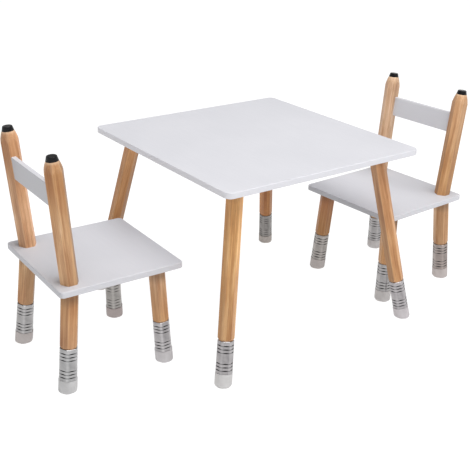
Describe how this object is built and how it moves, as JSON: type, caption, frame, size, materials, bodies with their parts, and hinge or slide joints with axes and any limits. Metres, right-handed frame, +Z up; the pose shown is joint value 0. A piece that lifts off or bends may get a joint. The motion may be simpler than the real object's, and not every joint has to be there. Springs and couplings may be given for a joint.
{
  "type": "children's table and chairs set",
  "caption": "Square white table with splayed hexagonal pencil legs and matching chairs whose back posts are sharpened pencils; chairs slide under the table.",
  "frame": {"origin": "bottom centre of the whole set's box, on the floor", "axes": "+Z up, +X from the left chair to the right chair, the long way of the set; -Y is the front"},
  "size_m": [1.2448, 0.647, 0.5689],
  "materials": {
    "white_panel": "satin white paint",
    "pencil_wood": "clear satin lacquer on warm brown wood",
    "ferrule_metal": "satin silver",
    "eraser": "matt off-white",
    "lead_black": "gloss black",
    "steel": "zinc plated",
    "dowel": "bare beech"
  },
  "bodies": {
    "table": {"table_ferrule_back_left": "ferrule_metal", "table_ferrule_back_right": "ferrule_metal", "table_ferrule_front_left": "ferrule_metal", "table_ferrule_front_right": "ferrule_metal", "table_foot_back_left": "eraser", "table_foot_back_right": "eraser", "table_foot_front_left": "eraser", "table_foot_front_right": "eraser", "table_leg_back_left": "pencil_wood", "table_leg_back_right": "pencil_wood", "table_leg_front_left": "pencil_wood", "table_leg_front_right": "pencil_wood", "table_leg_inserts": "steel", "table_leg_studs": "steel", "table_top": "white_panel"},
    "left_chair": {"left_chair_back_post_left": "pencil_wood", "left_chair_back_post_right": "pencil_wood", "left_chair_back_rail": "white_panel", "left_chair_ferrule_front_left": "ferrule_metal", "left_chair_ferrule_front_right": "ferrule_metal", "left_chair_ferrule_rear_left": "ferrule_metal", "left_chair_ferrule_rear_right": "ferrule_metal", "left_chair_foot_front_left": "eraser", "left_chair_foot_front_right": "eraser", "left_chair_foot_rear_left": "eraser", "left_chair_foot_rear_right": "eraser", "left_chair_front_leg_inserts": "steel", "left_chair_front_leg_studs": "steel", "left_chair_lead_tip_left": "lead_black", "left_chair_lead_tip_right": "lead_black", "left_chair_leg_front_left": "pencil_wood", "left_chair_leg_front_right": "pencil_wood", "left_chair_leg_rear_left": "pencil_wood", "left_chair_leg_rear_right": "pencil_wood", "left_chair_rail_dowels": "dowel", "left_chair_rear_studs": "steel", "left_chair_seat": "white_panel"},
    "right_chair": {"right_chair_back_post_left": "pencil_wood", "right_chair_back_post_right": "pencil_wood", "right_chair_back_rail": "white_panel", "right_chair_ferrule_front_left": "ferrule_metal", "right_chair_ferrule_front_right": "ferrule_metal", "right_chair_ferrule_rear_left": "ferrule_metal", "right_chair_ferrule_rear_right": "ferrule_metal", "right_chair_foot_front_left": "eraser", "right_chair_foot_front_right": "eraser", "right_chair_foot_rear_left": "eraser", "right_chair_foot_rear_right": "eraser", "right_chair_front_leg_inserts": "steel", "right_chair_front_leg_studs": "steel", "right_chair_lead_tip_left": "lead_black", "right_chair_lead_tip_right": "lead_black", "right_chair_leg_front_left": "pencil_wood", "right_chair_leg_front_right": "pencil_wood", "right_chair_leg_rear_left": "pencil_wood", "right_chair_leg_rear_right": "pencil_wood", "right_chair_rail_dowels": "dowel", "right_chair_rear_studs": "steel", "right_chair_seat": "white_panel"}
  },
  "joints": [
    {"name": "left_chair_slide", "type": "slide", "parent": "table", "child": "left_chair", "axis": [1, 0, 0], "range_m": [-0.3, 0.25]},
    {"name": "right_chair_slide", "type": "slide", "parent": "table", "child": "right_chair", "axis": [-1, 0, 0], "range_m": [-0.3, 0.22]}
  ]
}
